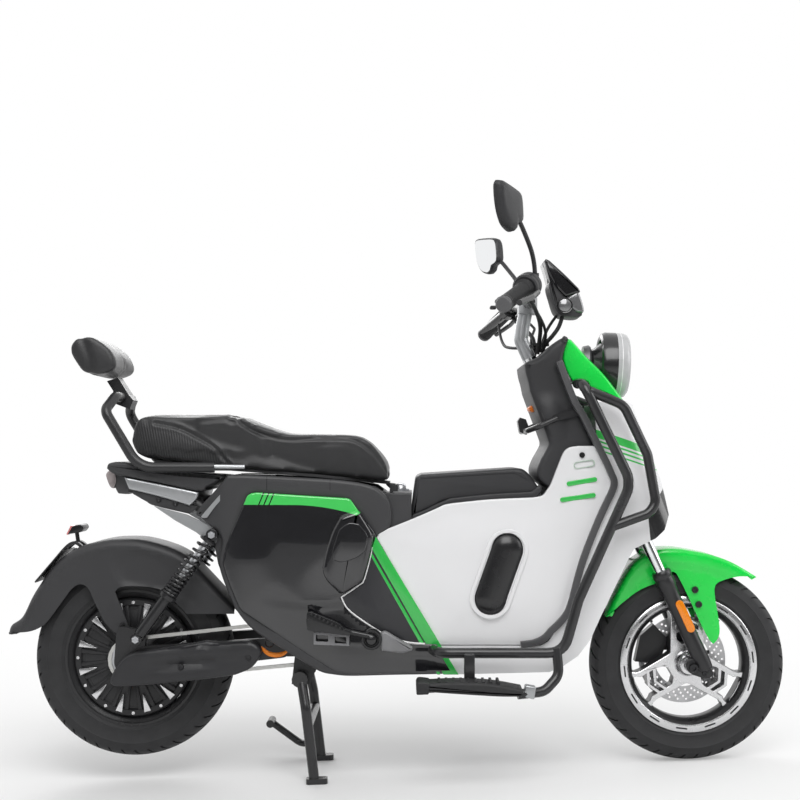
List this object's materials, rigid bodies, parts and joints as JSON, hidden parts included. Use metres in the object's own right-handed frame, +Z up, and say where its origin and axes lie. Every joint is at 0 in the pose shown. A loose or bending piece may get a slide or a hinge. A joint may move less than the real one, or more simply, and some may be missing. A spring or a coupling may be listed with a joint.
{
  "type": "electric motor scooter",
  "caption": "Step-through electric motor scooter with a long seat, backrest, crash bars and centre stand.",
  "frame": {"origin": "on the floor under the middle of the whole outline, parked on its centre stand", "axes": "+X forward, +Y to the rider's left, +Z up"},
  "size_m": [1.6921, 0.788, 1.2257],
  "materials": {
    "tyre": "matt",
    "rim": "satin, machined faces",
    "disc": "brushed",
    "motor": "satin",
    "black_metal": "satin",
    "silver_metal": "satin",
    "chrome": "polished",
    "black_plastic": "matt",
    "grey_plastic": "matt",
    "gloss_black": "gloss",
    "white": "gloss",
    "green": "gloss",
    "seat": "matt",
    "rubber": "matt",
    "lens": "gloss",
    "steel": "oiled"
  },
  "bodies": {
    "chassis": {"main_frame": "black_metal", "swingarm": "black_metal", "swingarm_cover": "gloss_black", "shock_absorbers": "black_metal", "rear_mudguard": "grey_plastic", "plate_bracket": "black_metal", "tail_unit": "grey_plastic", "tail_lamp": "lens", "rear_arms": "silver_metal", "backrest_frame": "black_metal", "backrest_pad": "seat", "rear_body": "grey_plastic", "gloss_panel_right": "gloss_black", "gloss_panel_left": "gloss_black", "side_panel_right": "white", "side_panel_left": "white", "nose_panel": "white", "tunnel_lid": "grey_plastic", "battery": "black_metal", "leg_shield": "grey_plastic", "front_cowl": "green", "headlight": "black_plastic", "crash_bar_right": "black_metal", "crash_bar_left": "black_metal", "footrest_right": "black_plastic", "footrest_left": "black_plastic", "bag_hook": "black_metal", "foot_pegs": "black_metal", "pedal_shaft": "steel", "drive_chain": "steel"},
    "rear_wheel": {"rear_tyre": "tyre", "rear_rim": "rim", "hub_motor": "motor"},
    "front_wheel": {"front_tyre": "tyre", "front_rim": "rim", "brake_disc": "disc"},
    "steering": {"fork": "chrome", "fork_sliders": "black_metal", "front_mudguard": "green", "brake_caliper": "black_metal", "steering_stem": "silver_metal", "handlebar": "black_metal", "grips": "rubber", "brake_levers": "black_metal", "mirror_right": "black_plastic", "mirror_left": "black_plastic", "dash": "black_plastic", "brake_hose": "rubber"},
    "stand": {"centre_stand": "black_metal"},
    "seat": {"seat": "seat", "seat_base": "grey_plastic"}
  },
  "joints": [
    {"name": "rear_wheel_spin", "type": "hinge", "parent": "chassis", "child": "rear_wheel", "pos_m": [-0.58645, 0, 0.27088], "axis": [0, 1, 0], "continuous": true},
    {"name": "steering_turn", "type": "hinge", "parent": "chassis", "child": "steering", "pos_m": [0.38807, 0, 0.70909], "axis": [-0.3841, 0, 0.9233], "range_deg": [-30, 30]},
    {"name": "front_wheel_spin", "type": "hinge", "parent": "steering", "child": "front_wheel", "pos_m": [0.6321, 0, 0.214], "axis": [0, 1, 0], "continuous": true},
    {"name": "stand_fold", "type": "hinge", "parent": "chassis", "child": "stand", "pos_m": [-0.21698, 0, 0.22106], "axis": [0, 1, 0], "range_deg": [0, 75]},
    {"name": "seat_open", "type": "hinge", "parent": "chassis", "child": "seat", "pos_m": [-0.00165, 0, 0.62474], "axis": [0, 1, 0], "range_deg": [0, 55]}
  ]
}
